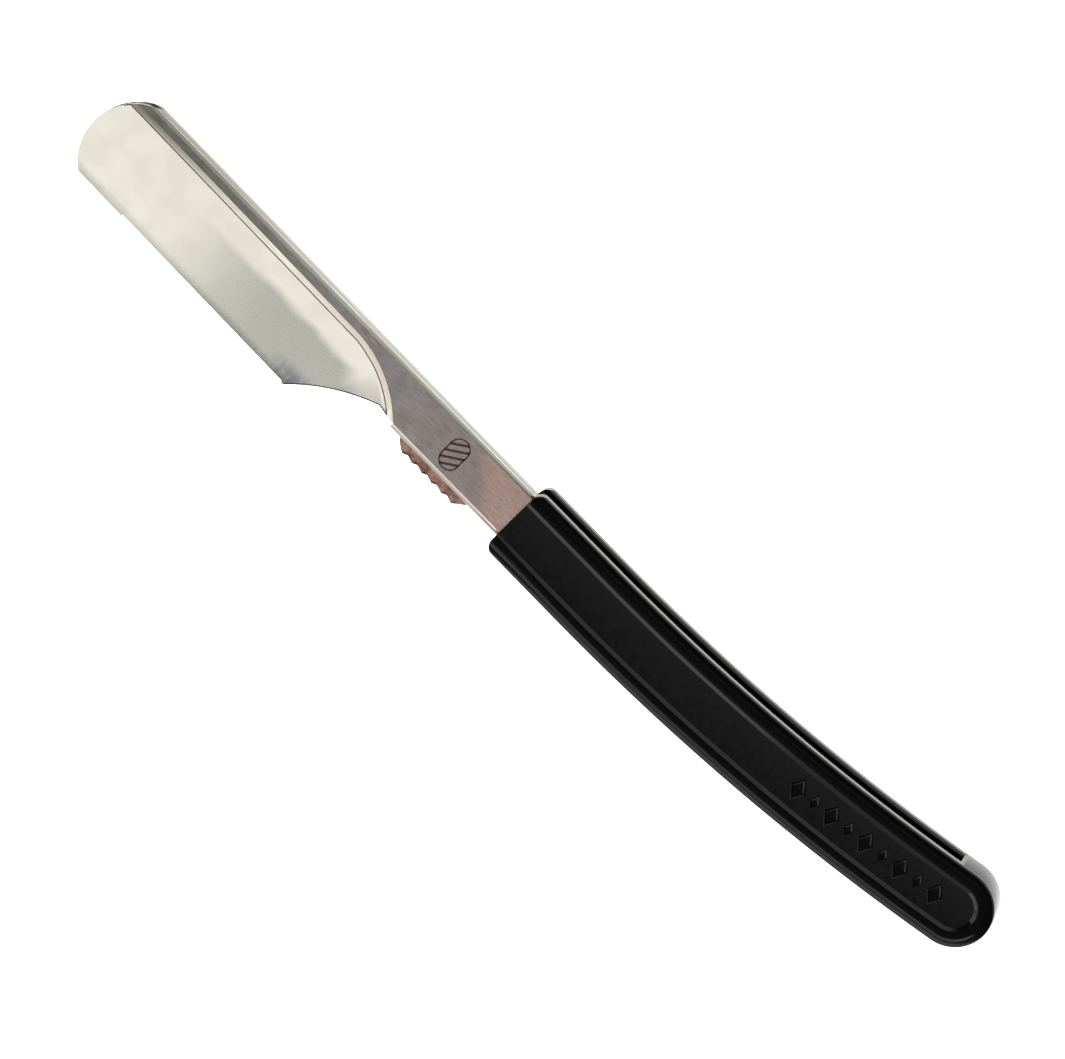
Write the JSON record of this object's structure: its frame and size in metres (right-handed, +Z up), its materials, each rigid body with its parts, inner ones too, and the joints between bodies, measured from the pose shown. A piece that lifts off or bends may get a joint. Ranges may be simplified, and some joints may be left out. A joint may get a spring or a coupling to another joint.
{
  "type": "straight razor",
  "caption": "Folding straight razor for snap-in half blades: long moulded handle, folded steel blade cover with a round nose, toothed thumb grip.",
  "frame": {"origin": "below the middle of the opened razor's bounding box, at the height of the handle's lower face", "axes": "+X along the razor from the nose of the blade cover to the far end of the handle, +Y towards the folded spine, +Z up out of the broad side"},
  "size_m": [0.2586, 0.0356, 0.0096],
  "materials": {
    "satin_stainless": "satin brushed, straight grain",
    "blade_steel": "bright ground steel",
    "pin_steel": "turned, fine",
    "brass_shim": "rolled, dull",
    "black_abs": "moulded, glossy rims and finely matt panels"
  },
  "bodies": {
    "handle": {"handle": "black_abs", "pivot_pin": "pin_steel", "pivot_washer_upper": "brass_shim", "pivot_washer_lower": "brass_shim"},
    "arm": {"blade_carrier": "satin_stainless", "grip_bar": "satin_stainless", "grip_rivet_front": "pin_steel", "grip_rivet_rear": "pin_steel", "carrier_spacer_upper": "pin_steel", "carrier_spacer_lower": "pin_steel", "blade_post_front": "pin_steel", "blade_post_rear": "pin_steel", "half_blade": "blade_steel"},
    "cover": {"blade_cover": "satin_stainless"}
  },
  "joints": [
    {"name": "handle_pivot", "type": "hinge", "parent": "handle", "child": "arm", "pos_m": [-0.00075, -0.00429, 0.0048], "axis": [0, 0, 1], "range_deg": [-120, 178.5]},
    {"name": "cover_swing", "type": "hinge", "parent": "arm", "child": "cover", "pos_m": [-0.00075, -0.00429, 0.0048], "axis": [0, 0, 1], "range_deg": [-25, 0]}
  ]
}
